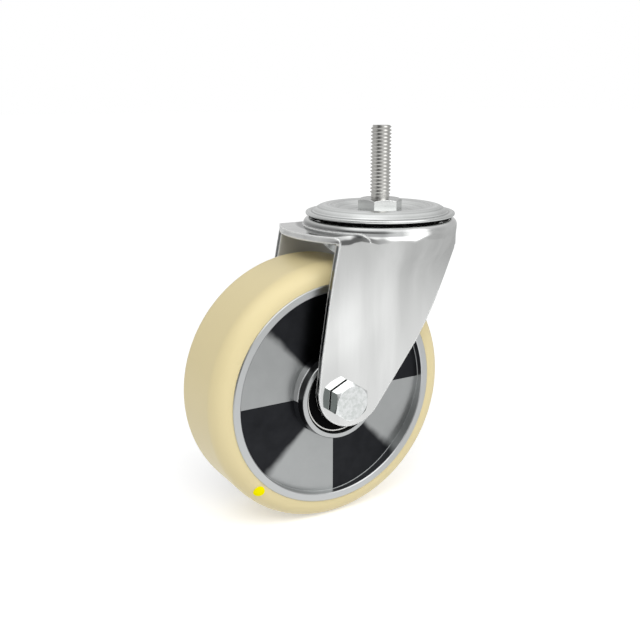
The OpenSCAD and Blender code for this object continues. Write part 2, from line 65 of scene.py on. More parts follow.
class Axis(Enum):
    """The two axes that turned pieces lie on."""

    SWIVEL = "swivel"
    AXLE = "axle"

    @property
    def matrix(self) -> Matrix:
        """Places a piece that is drawn about its own Z axis.

        Returns:
            The placement, in millimetres.
        """
        if self is Axis.SWIVEL:
            return Matrix.Identity(4)
        return Matrix.Translation(AXLE) @ Matrix.Rotation(math.radians(-90), 4, "X")


class Side(Enum):
    """The photographed side of the wheel and the side behind it."""

    NEAR = -1
    FAR = 1


def linear(hex_colour: str) -> Colour:
    """Turns an sRGB hex colour to the linear colour that shaders take.

    Args:
        hex_colour: Six hex digits with a leading hash.

    Returns:
        Linear red, green, blue and an alpha of 1.
    """
    parts = [int(hex_colour[i:i + 2], 16) / 255 for i in (1, 3, 5)]
    flat = [c / 12.92 if c <= 0.04045 else ((c + 0.055) / 1.055) ** 2.4 for c in parts]
    return (flat[0], flat[1], flat[2], 1.0)


def direction(azimuth: float, height: float) -> Vector:
    """Turns two angles to a unit vector.

    Args:
        azimuth: Degrees from +X, seen from above.
        height: Degrees above the horizon.

    Returns:
        The unit vector that points there.
    """
    a = math.radians(azimuth)
    e = math.radians(height)
    return Vector((math.cos(a) * math.cos(e), math.sin(a) * math.cos(e), math.sin(e)))


def add_node(tree: Tree, kind: str, given: Optional[dict[Union[str, int], object]] = None,
             out: Union[str, int] = 0) -> Socket:
    """Adds one shader node with its settings and links.

    Args:
        tree: Node tree that gets the node.
        kind: Type of node without its common prefix, such as Math.
        given: Properties and inputs, by name or by socket number; a socket among them is linked.
        out: Name or number of the output that is wanted.

    Returns:
        The output, or the first input of a node that has no outputs.
    """
    node = tree.nodes.new(f"ShaderNode{kind}")
    for key, value in (given or {}).items():
        if isinstance(value, Socket):
            tree.links.new(value, node.inputs[key])
        elif isinstance(key, int) or key in node.inputs:
            node.inputs[key].default_value = value
        else:
            setattr(node, key, value)
    return node.outputs[out] if len(node.outputs) else node.inputs[0]


def object_space(tree: Tree) -> Socket:
    """Returns a socket with the object coordinate in millimetres."""
    metres = add_node(tree, "TexCoord", out="Object")
    return add_node(tree, "VectorMath", {"operation": "SCALE", 0: metres, "Scale": 1 / MM})


def radius_from(tree: Tree, place: Socket, axis: Axis) -> Socket:
    """Makes the distance of a point from one of the turning axes.

    Args:
        tree: Node tree that gets the nodes.
        place: Object coordinate in millimetres.
        axis: The axis to measure from.

    Returns:
        Socket with the distance in millimetres.
    """
    centre, across = ((0, 0, 0), (1, 1, 0)) if axis is Axis.SWIVEL else (tuple(AXLE), (1, 0, 1))
    off = add_node(tree, "VectorMath", {"operation": "SUBTRACT", 0: place, 1: centre})
    flat = add_node(tree, "VectorMath", {"operation": "MULTIPLY", 0: off, 1: across})
    return add_node(tree, "VectorMath", {"operation": "LENGTH", 0: flat}, "Value")


def size_of(tree: Tree, vector: Socket, letter: str) -> Socket:
    """Makes the size of one component of a vector, whatever its sign.

    Args:
        tree: Node tree that gets the nodes.
        vector: The vector.
        letter: X, Y or Z.

    Returns:
        Socket with the size.
    """
    part = add_node(tree, "SeparateXYZ", {0: vector}, letter)
    return add_node(tree, "Math", {"operation": "ABSOLUTE", 0: part})


def where(tree: Tree, *limits: tuple[Socket, float, float]) -> Socket:
    """Makes a mask that is 1 where every value lies between its limits, and 0 elsewhere.

    Args:
        tree: Node tree that gets the nodes.
        *limits: A value with its lower and its upper limit.

    Returns:
        Socket with the mask.
    """
    masks = []
    for value, low, high in limits:
        middle = (low + high) / 2
        masks.append(add_node(tree, "Math", {"operation": "COMPARE", 0: value, 1: middle, 2: high - middle}))
    total = masks[0]
    for mask in masks[1:]:
        total = add_node(tree, "Math", {"operation": "MULTIPLY", 0: total, 1: mask})
    return total


def around(tree: Tree, place: Socket, levels: Sequence[Point]) -> Socket:
    """Makes a grey level that changes softly with the azimuth.

    Args:
        tree: Node tree that gets the nodes.
        place: Position or direction from the castor.
        levels: Azimuth in degrees and level, in rising order.

    Returns:
        Socket with the level.
    """
    x = add_node(tree, "SeparateXYZ", {0: place}, "X")
    y = add_node(tree, "SeparateXYZ", {0: place}, "Y")
    angle = add_node(tree, "Math", {"operation": "ARCTAN2", 0: y, 1: x})
    turn = add_node(tree, "Math", {"operation": "DIVIDE", 0: angle, 1: math.tau})
    share = add_node(tree, "Math", {"operation": "FRACT", 0: turn})
    grey = add_node(tree, "ValToRGB", {0: share})
    ramp = grey.node.color_ramp
    ramp.interpolation = "EASE"
    ramp.elements.remove(ramp.elements[1])
    for azimuth, level in levels:
        stop = ramp.elements.new(azimuth / 360) if azimuth else ramp.elements[0]
        stop.color = (level / 2, level / 2, level / 2, 1.0)
    return add_node(tree, "Math", {"operation": "MULTIPLY", 0: grey, 1: 2.0})


class Finish:
    """A material that is made once and shared by the pieces that carry it."""

    made: dict[str, bpy.types.Material] = {}
    name: str

    def material(self) -> bpy.types.Material:
        """Makes the material on the first call, and keeps it for the next.

        Returns:
            The material.
        """
        if self.name not in Finish.made:
            mat = bpy.data.materials.new(self.name)
            mat.use_nodes = True
            mat.node_tree.nodes.clear()
            add_node(mat.node_tree, "OutputMaterial", {"Surface": self.shade(mat.node_tree)})
            Finish.made[self.name] = mat
        return Finish.made[self.name]

    def shade(self, tree: Tree) -> Socket:
        """Builds the nodes; each finish has its own.

        Args:
            tree: Empty node tree of the material.

        Returns:
            The surface.
        """
        raise NotImplementedError


@dataclass(frozen=True)
class PlatedSteel(Finish):
    """Electroplated zinc on steel: bright and neutral, with soft clouds and a faint pressing wave.

    Edges are rounded and rubbed, and a painted highlight makes them a thin bright line.
    """

    name: str
    colour: str
    shade_colour: str
    roughness: float
    cloud_mm: float = 22.0
    stretch: float = 1.0
    edge_mm: float = 0.3
    # Pale colour of the edges: rubbed zinc with a painted highlight.
    wear_and_highlight_colour: str = "#eeefee"
    wave_mm: float = 30.0
    wave_depth: float = 0.02
    grain_mm: float = 0.35
    grain_depth: float = 0.0015

    def shade(self, tree: Tree) -> Socket:
        """Builds clouded colour and roughness, rubbed edges with a painted highlight, and a bump of two
        scales.

        Args:
            tree: Empty node tree of the material.

        Returns:
            The surface.
        """
        place = object_space(tree)
        drawn = add_node(tree, "VectorMath", {"operation": "MULTIPLY", 0: place,
                                              1: (1.0, 1.0, 1 / self.stretch)})
        cloud = add_node(tree, "TexNoise", {"Scale": 1 / self.cloud_mm, "Detail": 3.0,
                                            "Vector": drawn}, "Fac")
        share = add_node(tree, "MapRange", {"From Min": 0.35, "From Max": 0.65, "Value": cloud})
        body = add_node(tree, "Mix", {"data_type": "RGBA", 0: share, 6: linear(self.shade_colour),
                                      7: linear(self.colour)}, 2)
        rounded = add_node(tree, "Bevel", {"samples": 6, "Radius": self.edge_mm * MM})
        flat = add_node(tree, "NewGeometry", out="Normal")
        facing = add_node(tree, "VectorMath", {"operation": "DOT_PRODUCT", 0: rounded, 1: flat}, "Value")
        wear_and_highlight = add_node(tree, "MapRange", {"From Min": 0.985, "From Max": 0.9, "Value": facing})
        wear_and_highlight = self.rubbed(tree, place, wear_and_highlight)
        # The edges take the pale colour: rubbed zinc with a painted highlight.
        tone = add_node(tree, "Mix", {"data_type": "RGBA", 0: wear_and_highlight, 6: self.dye(tree, place, body),
                                      7: linear(self.wear_and_highlight_colour)}, 2)
        rough = add_node(tree, "MapRange", {"From Min": 0.3, "From Max": 0.7, "To Min": self.roughness * 0.8,
                                            "To Max": self.roughness * 1.2, "Value": cloud})
        normal = self.form(tree, place, rounded, wear_and_highlight)
        for size, detail, depth in ((self.wave_mm, 0.0, self.wave_depth),
                                    (self.grain_mm, 2.0, self.grain_depth)):
            relief = add_node(tree, "TexNoise", {"Scale": 1 / size, "Detail": detail, "Vector": place}, "Fac")
            normal = add_node(tree, "Bump", {"Strength": 1.0, "Distance": depth * MM, "Height": relief,
                                             "Normal": normal})
        metal: Union[float, Socket] = 1.0
        matt = self.matt(tree, place, wear_and_highlight)
        if matt is not None:
            metal = add_node(tree, "Math", {"operation": "MULTIPLY_ADD", 0: matt, 1: -0.8, 2: 1.0})
            rough = add_node(tree, "Math", {"operation": "MULTIPLY_ADD", 0: matt, 1: 0.5, 2: rough})
        return add_node(tree, "BsdfPrincipled", {"Metallic": metal, "Base Color": tone, "Roughness": rough,
                                                 "Normal": normal})

    def rubbed(self, tree: Tree, place: Socket, wear_and_highlight: Socket) -> Socket:
        """Returns the edge wear and painted highlight that show; plain steel shows all of it."""
        return wear_and_highlight

    def matt(self, tree: Tree, place: Socket, wear_and_highlight: Socket) -> Optional[Socket]:
        """Returns how matt the zinc is at each place; plain steel has no matt place."""
        return None

    def form(self, tree: Tree, place: Socket, normal: Socket, wear_and_highlight: Socket) -> Socket:
        """Returns the normal that the bumps stand on; plain steel keeps the one it is given."""
        return normal

    def dye(self, tree: Tree, place: Socket, colour: Socket) -> Socket:
        """Returns the colour before wear; plain steel keeps its clouds as they are."""
        return colour


@dataclass(frozen=True)
class RolledThread(PlatedSteel):
    """Zinc plated rolled thread: the dies burnish its flanks, so the bands of the room stand upright."""

    burnish: float = 0.93

    def form(self, tree: Tree, place: Socket, normal: Socket, wear_and_highlight: Socket) -> Socket:
        """Leans the flanks towards upright.

        Args:
            tree: Node tree of the material.
            place: Object coordinate in millimetres; not used.
            normal: Normal of the flanks.
            wear_and_highlight: Wear and painted highlight of the edges; not used.

        Returns:
            The leaned normal.
        """
        lean = add_node(tree, "VectorMath", {"operation": "MULTIPLY", 0: normal,
                                             1: (1.0, 1.0, 1.0 - self.burnish)})
        return add_node(tree, "VectorMath", {"operation": "NORMALIZE", 0: lean})


@dataclass(frozen=True)
class GroundRing(PlatedSteel):
    """Ground bearing ring: a bright land inside, and painted shade on the chamfer at its outer edge."""

    land_r: float = 17.05
    chamfer_shade_colour: str = "#1a1b1c"

    def dye(self, tree: Tree, place: Socket, colour: Socket) -> Socket:
        """Paints shade on the ring outside its land.

        Args:
            tree: Node tree of the material.
            place: Object coordinate in millimetres.
            colour: Colour of the clouded steel.

        Returns:
            The colour with the painted shade at the edge.
        """
        radius = radius_from(tree, place, Axis.AXLE)
        # Painted shade on the chamfer outside the land.
        share = add_node(tree, "Math", {"operation": "GREATER_THAN", 0: radius, 1: self.land_r})
        return add_node(tree, "Mix", {"data_type": "RGBA", 0: share, 6: colour,
                                      7: linear(self.chamfer_shade_colour)}, 2)


@dataclass(frozen=True)
class ForgedBolt(PlatedSteel):
    """Zinc plated forged bolt: a mottled face, painted light on the upper flats and grey green painted shade
    on the lower flats.
    """

    # Painted light and painted shade of the flats.
    lit_flat_colour: str = "#f6f8f7"
    shaded_flat_colour: str = "#757b79"

    def dye(self, tree: Tree, place: Socket, colour: Socket) -> Socket:
        """Paints light on the upper flats and shade on the lower flats.

        Args:
            tree: Node tree of the material.
            place: Object coordinate in millimetres; not used.
            colour: Colour of the clouded zinc.

        Returns:
            The colour with the flats.
        """
        own = add_node(tree, "TexCoord", out="Normal")
        flat = where(tree, (size_of(tree, own, "Y"), 0.0, 0.3))
        # Painted light on the flats that face up, painted shade on those that face down.
        up = add_node(tree, "SeparateXYZ", {0: own}, "Z")
        rise = add_node(tree, "MapRange", {"From Min": 0.2, "From Max": 0.5, "Value": up})
        hue = add_node(tree, "Mix", {"data_type": "RGBA", 0: rise, 6: linear(self.shaded_flat_colour),
                                     7: linear(self.lit_flat_colour)}, 2)
        return add_node(tree, "Mix", {"data_type": "RGBA", 0: flat, 6: colour, 7: hue}, 2)


@dataclass(frozen=True)
class TurnedCover(PlatedSteel):
    """Zinc plated cover burnished on a lathe: fine rings, a painted highlight on the crest and painted shade
    in a line at the step.
    """

    ring_mm: float = 0.9
    step_r: float = 33.2
    step_w: float = 0.7
    step_shade_colour: str = "#8e9091"
    crest_r: float = 27.2
    crest_w: float = 2.2
    crest_highlight_colour: str = "#eceeed"

    def dye(self, tree: Tree, place: Socket, colour: Socket) -> Socket:
        """Lays the rings, the painted highlight of the crest and the painted shade of the step over the
        clouded zinc.

        Args:
            tree: Node tree of the material.
            place: Object coordinate in millimetres.
            colour: Colour of the clouded zinc.

        Returns:
            The colour with the rings.
        """
        radius = radius_from(tree, place, Axis.SWIVEL)
        rings = add_node(tree, "TexNoise", {"noise_dimensions": "1D", "Scale": 1 / self.ring_mm,
                                            "Detail": 3.0, "W": radius}, "Fac")
        dim = add_node(tree, "MapRange", {"From Min": 0.3, "From Max": 0.7, "To Min": 0.8, "To Max": 1.08,
                                          "Value": rings})
        ringed = add_node(tree, "VectorMath", {"operation": "SCALE", 0: colour, "Scale": dim})
        # Painted highlight on the crest and painted shade in a line at the step.
        for middle, width, hue in ((self.crest_r, self.crest_w, self.crest_highlight_colour),
                                   (self.step_r, self.step_w, self.step_shade_colour)):
            off = add_node(tree, "Math", {"operation": "SUBTRACT", 0: radius, 1: middle})
            away = add_node(tree, "Math", {"operation": "ABSOLUTE", 0: off})
            share = add_node(tree, "MapRange", {"interpolation_type": "SMOOTHSTEP", "From Min": width,
                                                "From Max": 0.0, "To Max": 0.7, "Value": away})
            ringed = add_node(tree, "Mix", {"data_type": "RGBA", 0: share, 6: ringed, 7: linear(hue)}, 2)
        return ringed


@dataclass(frozen=True)
class DrawnSheet(PlatedSteel):
    """Zinc plated sheet drawn in a press: its shading eases the round crown into flat legs over a soft
    crease.

    The sheared edges are rough, so they stay matt, and pale with a painted highlight; where they face
    backwards they carry painted shade, a dark reflection. The inner faces of the legs missed the bright dip
    of the bath and are matt. Painted shade darkens the foot of the bead.
    """

    edge_matt: float = 0.9
    inside_y: float = 25.2
    inside_colour: str = "#d2d2cf"
    # Painted shade, a dark reflection, on sheared edges that face backwards.
    back_edge_shade_colour: str = "#6c6e6e"
    # Painted shade round the foot of the bead.
    foot_shade_colour: str = "#3b3d3e"
    foot_r: float = 38.6
    foot_w: float = 1.0
    foot_fade: float = 3.0
    tongue_x: float = -12.0
    tongue_z: float = -13.6
    bulge_x: float = 27.0
    bulge_z: float = -42.0
    bead_z: float = -11.0
    round_z: float = -16.0
    flat_z: float = -80.0
    lean_x: float = 12.0
    shoulder_lean: float = 20.0
    ripple_mm: float = 9.0
    ripple_deep: float = 5.0

    def dye(self, tree: Tree, place: Socket, colour: Socket) -> Socket:
        """Makes the inside of the legs paler, paints shade at the foot of the bead and paints a dark
        reflection on the sheared back edges.

        Args:
            tree: Node tree of the material.
            place: Object coordinate in millimetres.
            colour: Colour of the clouded zinc.

        Returns:
            The colour with these places.
        """
        tone = add_node(tree, "Mix", {"data_type": "RGBA", 0: self.inner(tree, place), 6: colour,
                                      7: linear(self.inside_colour)}, 2)
        x = add_node(tree, "SeparateXYZ", {0: place}, "X")
        z = add_node(tree, "SeparateXYZ", {0: place}, "Z")
        radius = radius_from(tree, place, Axis.SWIVEL)
        # Painted shade in a soft band round the foot of the bead, behind the front of the tongue and above
        # it.
        off = add_node(tree, "Math", {"operation": "SUBTRACT", 0: radius, 1: self.foot_r})
        away = add_node(tree, "Math", {"operation": "ABSOLUTE", 0: off})
        foot_shade = add_node(tree, "MapRange", {"interpolation_type": "SMOOTHSTEP", "From Min": self.foot_fade,
                                           "From Max": self.foot_w, "To Max": 0.8, "Value": away})
        behind = add_node(tree, "MapRange", {"From Min": self.tongue_x + 8, "From Max": self.tongue_x,
                                             "Value": x})
        above = add_node(tree, "MapRange", {"From Min": self.tongue_z, "From Max": self.tongue_z + 0.8,
                                            "Value": z})
        for share in (behind, above):
            foot_shade = add_node(tree, "Math", {"operation": "MULTIPLY", 0: foot_shade, 1: share})
        tone = add_node(tree, "Mix", {"data_type": "RGBA", 0: foot_shade, 6: tone, 7: linear(self.foot_shade_colour)}, 2)
        # Painted shade, a dark reflection, on the sheared edges that face backwards.
        back = add_node(tree, "SeparateXYZ", {0: add_node(tree, "TexCoord", out="Normal")}, "X")
        sheared = where(tree, (back, -1.1, -0.9), (z, FLOOR_Z, self.round_z))
        return add_node(tree, "Mix", {"data_type": "RGBA", 0: sheared, 6: tone,
                                      7: linear(self.back_edge_shade_colour)}, 2)

    def rubbed(self, tree: Tree, place: Socket, wear_and_highlight: Socket) -> Socket:
        """Keeps the edge wear and its painted highlight off the soft crease where the crown bulges out of the
        legs.

        Args:
            tree: Node tree of the material.
            place: Object coordinate in millimetres.
            wear_and_highlight: Wear and painted highlight of every edge.

        Returns:
            The wear and painted highlight without the crease.
        """
        z = add_node(tree, "SeparateXYZ", {0: place}, "Z")
        crease = where(tree, (size_of(tree, place, "X"), 0.0, self.bulge_x), (z, self.bulge_z, self.round_z))
        clear = add_node(tree, "Math", {"operation": "SUBTRACT", 0: 1.0, 1: crease})
        return add_node(tree, "Math", {"operation": "MULTIPLY", 0: wear_and_highlight, 1: clear})

    def inner(self, tree: Tree, place: Socket) -> Socket:
        """Makes a mask of the inner faces of the legs.

        Args:
            tree: Node tree of the material.
            place: Object coordinate in millimetres.

        Returns:
            Socket that is 1 on the inner faces.
        """
        z = add_node(tree, "SeparateXYZ", {0: place}, "Z")
        own = add_node(tree, "TexCoord", out="Normal")
        return where(tree, (size_of(tree, place, "Y"), 0.0, self.inside_y), (z, FLOOR_Z, self.round_z),
                     (size_of(tree, own, "Y"), 0.8, 1.1))

    def matt(self, tree: Tree, place: Socket, wear_and_highlight: Socket) -> Optional[Socket]:
        """Makes the inner faces and the sheared edges matt.

        Args:
            tree: Node tree of the material.
            place: Object coordinate in millimetres.
            wear_and_highlight: Wear of the edges, with their painted highlight.

        Returns:
            Socket that is 1 where the zinc is matt.
        """
        return add_node(tree, "Math", {"operation": "MULTIPLY_ADD", "use_clamp": True, 0: wear_and_highlight,
                                       1: self.edge_matt, 2: self.inner(tree, place)})

    def form(self, tree: Tree, place: Socket, normal: Socket, wear_and_highlight: Socket) -> Socket:
        """Eases the outside of the legs from round at the crown to flat at the axle.

        Args:
            tree: Node tree of the material.
            place: Object coordinate in millimetres.
            normal: Normal with rounded edges.
            wear_and_highlight: Wear and painted highlight of the edges, which keep their own rounding.

        Returns:
            The eased normal.
        """
        x, y, z = (add_node(tree, "SeparateXYZ", {0: place}, letter) for letter in "XYZ")
        own = add_node(tree, "VectorTransform", {"vector_type": "NORMAL", "convert_from": "WORLD",
                                                 "convert_to": "OBJECT", 0: normal})
        side = add_node(tree, "SeparateXYZ", {0: own}, "Y")
        out = add_node(tree, "Math", {"operation": "MULTIPLY", 0: side, 1: y})
        share = add_node(tree, "MapRange", {"From Min": 1.5, "From Max": 5.0, "Value": out})
        below = add_node(tree, "MapRange", {"interpolation_type": "SMOOTHSTEP", "From Min": self.bead_z,
                                            "From Max": self.bead_z - 1, "Value": z})
        kept = add_node(tree, "Math", {"operation": "SUBTRACT", 0: 1.0, 1: wear_and_highlight})
        for part in (below, kept):
            share = add_node(tree, "Math", {"operation": "MULTIPLY", 0: share, 1: part})
        ease = add_node(tree, "MapRange", {"interpolation_type": "SMOOTHSTEP", "From Min": self.flat_z,
                                           "From Max": self.round_z, "Value": z})
        bent = add_node(tree, "Math", {"operation": "MULTIPLY", 0: x, 1: ease})
        held = add_node(tree, "Math", {"operation": "MINIMUM", 0: bent, 1: self.lean_x})
        ripple = add_node(tree, "TexNoise", {"Scale": 1 / self.ripple_mm, "Detail": 1.0,
                                             "Vector": place}, "Fac")
        height = add_node(tree, "Math", {"operation": "MULTIPLY_ADD", 0: ripple, 1: self.ripple_deep, 2: z})
        rise = self.round_z + self.ripple_deep / 2
        lift = add_node(tree, "MapRange", {"interpolation_type": "SMOOTHSTEP", "From Min": rise - 0.5,
                                           "From Max": rise + 3.5, "To Max": self.shoulder_lean,
                                           "Value": height})
        drawn = add_node(tree, "CombineXYZ", {"X": held, "Y": y, "Z": lift})
        unit = add_node(tree, "VectorMath", {"operation": "NORMALIZE", 0: drawn})
        turned = add_node(tree, "VectorTransform", {"vector_type": "NORMAL", "convert_from": "OBJECT",
                                                    "convert_to": "WORLD", 0: unit})
        mixed = add_node(tree, "Mix", {"data_type": "VECTOR", 0: share, 4: normal, 5: turned}, 1)
        return add_node(tree, "VectorMath", {"operation": "NORMALIZE", 0: mixed})


@dataclass(frozen=True)
class Plain(Finish):
    """Moulded rubber, nylon or paint: an even colour with a fine skin."""

    name: str
    colour: str
    roughness: float
    gloss: float = 0.5
    skin_mm: float = 0.6
    skin_depth: float = 0.004

    def shade(self, tree: Tree) -> Socket:
        """Builds an even colour with a fine bump.

        Args:
            tree: Empty node tree of the material.

        Returns:
            The surface.
        """
        skin = add_node(tree, "TexNoise", {"Scale": 1 / self.skin_mm, "Detail": 2.0,
                                           "Vector": object_space(tree)}, "Fac")
        bump = add_node(tree, "Bump", {"Strength": 1.0, "Distance": self.skin_depth * MM, "Height": skin})
        return add_node(tree, "BsdfPrincipled", {"Base Color": linear(self.colour),
                                                 "Roughness": self.roughness,
                                                 "Specular IOR Level": self.gloss, "Normal": bump})


@dataclass(frozen=True)
class TurnedWheelMetal(Finish):
    """Cast aluminium, turned bright on rim and hub; the web carries a painted reflection in eight sectors,
    light and dark.

    Each sector of the painted reflection ends sharply at one side and fades into the next at the other.
    """

    name: str
    ring: str = "#b7b9b9"
    # Light and dark tones of the painted reflection on the web.
    light: tuple[str, str] = ("#999b9b", "#a4a6a6")
    dark: tuple[str, str] = ("#1b1c1e", "#2e2f32")
    # Painted dark reflection on the hub's cast side, painted shadow in the bore, painted highlight on the
    # fillet.
    hub_side_reflection: str = "#5c5d5e"
    bore_shadow: str = "#141516"
    fillet_highlight: str = "#f0f1f1"
    web_in: float = 23.0
    web_out: float = 49.4
    web_face: float = 18.6
    hub_out: float = 20.15
    hub_foot: float = 20.4
    seat_out: float = 18.2
    hub_face: float = 24.36
    sectors: int = 4
    blur_mm: float = 11.0
    haze_mm: float = 7.0
    turn_mm: float = 0.9
    turn_depth: float = 0.002

    def shade(self, tree: Tree) -> Socket:
        """Builds the zones of the casting about the axle, and the turning marks. The zones hold a painted
        reflection on the web and the hub's side, a painted shadow in the bore and a painted highlight on the
        upper fillet.

        Args:
            tree: Empty node tree of the material.

        Returns:
            The surface.
        """
        place = object_space(tree)
        radius = radius_from(tree, place, Axis.AXLE)
        depth = size_of(tree, place, "Y")
        haze = add_node(tree, "TexNoise", {"Scale": 1 / self.haze_mm, "Detail": 4.0, "Vector": place}, "Fac")
        z = add_node(tree, "SeparateXYZ", {0: place}, "Z")
        light_reflection_sectors = self.light_reflection_sectors(tree, place)
        # Painted reflection: light and dark sectors on the web.
        black, white = (add_node(tree, "Mix", {"data_type": "RGBA", 0: haze, 6: linear(a), 7: linear(b)}, 2)
                        for a, b in (self.dark, self.light))
        web = add_node(tree, "Mix", {"data_type": "RGBA", 0: light_reflection_sectors, 6: black, 7: white}, 2)
        foot = where(tree, (depth, 0.0, self.hub_foot), (radius, self.hub_out, self.web_in + 0.1))
        ground = add_node(tree, "Math", {
            "operation": "MAXIMUM", 0: foot,
            1: where(tree, (depth, 0.0, self.web_face), (radius, self.web_in, self.web_out))})
        # Painted dark reflection on the hub's side, painted shadow in the bore, painted highlight on the
        # upper fillet.
        beside = where(tree, (radius, self.hub_out, self.web_in), (depth, self.hub_foot, 99.0))
        bore_in_shadow = where(tree, (radius, 0.0, self.seat_out), (depth, 0.0, self.hub_face))
        upper = where(tree, (radius, self.hub_out, self.web_in), (z, AXLE.z - 1, 0.0),
                      (depth, self.hub_foot - 0.4, self.hub_foot + 0.4))
        line = add_node(tree, "Math", {"operation": "MULTIPLY", 0: upper, 1: light_reflection_sectors})
        tone = add_node(tree, "Mix", {"data_type": "RGBA", 0: ground, 6: linear(self.ring), 7: web}, 2)
        for zone, hue in ((beside, self.hub_side_reflection), (bore_in_shadow, self.bore_shadow), (line, self.fillet_highlight)):
            tone = add_node(tree, "Mix", {"data_type": "RGBA", 0: zone, 6: tone, 7: linear(hue)}, 2)
        turn = add_node(tree, "Math", {"operation": "MULTIPLY", 0: radius, 1: math.tau / self.turn_mm})
        wave = add_node(tree, "Math", {"operation": "SINE", 0: turn})
        marks = add_node(tree, "Bump", {"Strength": 1.0, "Distance": self.turn_depth * MM, "Height": wave,
                                        "Normal": self.facing(tree, place, foot)})
        rough = add_node(tree, "MapRange", {"To Min": 0.26, "To Max": 0.36, "Value": haze})
        return add_node(tree, "BsdfPrincipled", {"Metallic": 1.0, "Base Color": tone, "Roughness": rough,
                                                 "Normal": marks})

    def light_reflection_sectors(self, tree: Tree, place: Socket) -> Socket:
        """Makes a mask of the light sectors of the painted reflection.

        Args:
            tree: Node tree of the material.
            place: Object coordinate in millimetres.

        Returns:
            Socket that is 1 in the light sectors.
        """
        off = add_node(tree, "VectorMath", {"operation": "SUBTRACT", 0: place, 1: tuple(AXLE)})
        x = add_node(tree, "SeparateXYZ", {0: off}, "X")
        z = add_node(tree, "SeparateXYZ", {0: off}, "Z")
        angle = add_node(tree, "Math", {"operation": "ARCTAN2", 0: z, 1: x})
        turn = add_node(tree, "Math", {"operation": "MULTIPLY", 0: angle, 1: self.sectors / math.tau})
        share = add_node(tree, "Math", {"operation": "FRACT", 0: turn})
        early = add_node(tree, "Math", {"operation": "SUBTRACT", 0: share, 1: 0.03})
        cloud = add_node(tree, "TexNoise", {"Scale": 1 / self.blur_mm, "Detail": 3.0, "Vector": place}, "Fac")
        blurred = add_node(tree, "Math", {"operation": "MULTIPLY_ADD", 0: cloud, 1: 0.06, 2: early})
        return add_node(tree, "MapRange", {"interpolation_type": "SMOOTHSTEP", "From Min": 0.46,
                                           "From Max": 0.54, "Value": blurred})

    def facing(self, tree: Tree, place: Socket, foot: Socket) -> Socket:
        """Levels the foot of the hub, so that it shades like the web beside it.

        Args:
            tree: Node tree of the material.
            place: Object coordinate in millimetres.
            foot: Mask of the hub's foot.

        Returns:
            The normal that the turning marks stand on.
        """
        y = add_node(tree, "SeparateXYZ", {0: place}, "Y")
        outward = add_node(tree, "CombineXYZ", {"Y": add_node(tree, "Math", {"operation": "SIGN", 0: y})})
        level = add_node(tree, "VectorTransform", {"vector_type": "NORMAL", "convert_from": "OBJECT",
                                                   "convert_to": "WORLD", 0: outward})
        own = add_node(tree, "NewGeometry", out="Normal")
        return add_node(tree, "Mix", {"data_type": "VECTOR", 0: foot, 4: own, 5: level}, 1)


def corner_cut(profile: Sequence[Point], times: int) -> list[Point]:
    """Rounds a chain of points by cutting its corners, with both ends kept.

    Args:
        profile: Points of the chain.
        times: How often every corner is cut.

    Returns:
        The rounder chain.
    """
    chain = list(profile)
    for _ in range(times):
        cut = [chain[0]]
        for (r0, z0), (r1, z1) in zip(chain, chain[1:]):
            cut.append((0.75 * r0 + 0.25 * r1, 0.75 * z0 + 0.25 * z1))
            cut.append((0.25 * r0 + 0.75 * r1, 0.25 * z0 + 0.75 * z1))
        chain = cut + [chain[-1]]
    return chain


def revolve(profile: Sequence[Point], steps: int = 192, closed: bool = True) -> bmesh.types.BMesh:
    """Spins a profile about the Z axis.

    Args:
        profile: Radius and height of each point.
        steps: Steps of the full turn.
        closed: Whether the last point is joined to the first.

    Returns:
        The turned mesh.
    """
    bm = bmesh.new()
    verts = [bm.verts.new((r, 0.0, z)) for r, z in profile]
    pairs = list(zip(verts, verts[1:])) + ([(verts[-1], verts[0])] if closed else [])
    edges = [bm.edges.new(pair) for pair in pairs]
    bmesh.ops.spin(bm, geom=verts + edges, axis=(0, 0, 1), cent=(0, 0, 0), angle=math.tau, steps=steps,
                   use_merge=True)
    return bm


def hexagon(af: float, height: float, chamfer: float, turn: float) -> bmesh.types.BMesh:
    """Makes a hexagon with a turned chamfer on top, standing on z = 0.

    Args:
        af: Size across flats.
        height: Height of the prism.
        chamfer: How far the chamfer runs down at the corners.
        turn: Angle of one corner, in degrees.

    Returns:
        The mesh.
    """
    bm = bmesh.new()
    corner = af / 2 / math.cos(math.pi / 6)
    land = af / 2 - 0.15
    slope = chamfer / (corner - land)
    bmesh.ops.create_circle(bm, cap_ends=False, radius=corner, segments=6)
    bmesh.ops.subdivide_edges(bm, edges=bm.edges, cuts=15)
    turned = Matrix.Rotation(math.radians(turn - 90), 3, "Z")
    bmesh.ops.rotate(bm, verts=bm.verts, cent=(0, 0, 0), matrix=turned)

    def grow(edges: Iterable[bmesh.types.BMEdge],
             shape: Callable[[Vector], Vector]) -> list[bmesh.types.BMEdge]:
        """Extrudes a loop and moves each new corner.

        Args:
            edges: Edges of the loop.
            shape: Rule that gives a corner's new place.

        Returns:
            Edges of the new loop.
        """
        new = bmesh.ops.extrude_edge_only(bm, edges=list(edges))["geom"]
        for v in (g for g in new if isinstance(g, bmesh.types.BMVert)):
            v.co = shape(v.co)
        return [g for g in new if isinstance(g, bmesh.types.BMEdge) and all(v in new for v in g.verts)]

    low = list(bm.edges)
    top = grow(low, lambda co: Vector((co.x, co.y, height - slope * max(0.0, co.xy.length - land))))
    top = grow(top, lambda co: Vector((co.x * land / co.xy.length, co.y * land / co.xy.length, height)))
    for loop in (top, low):
        bmesh.ops.contextual_create(bm, geom=loop)
    return bm


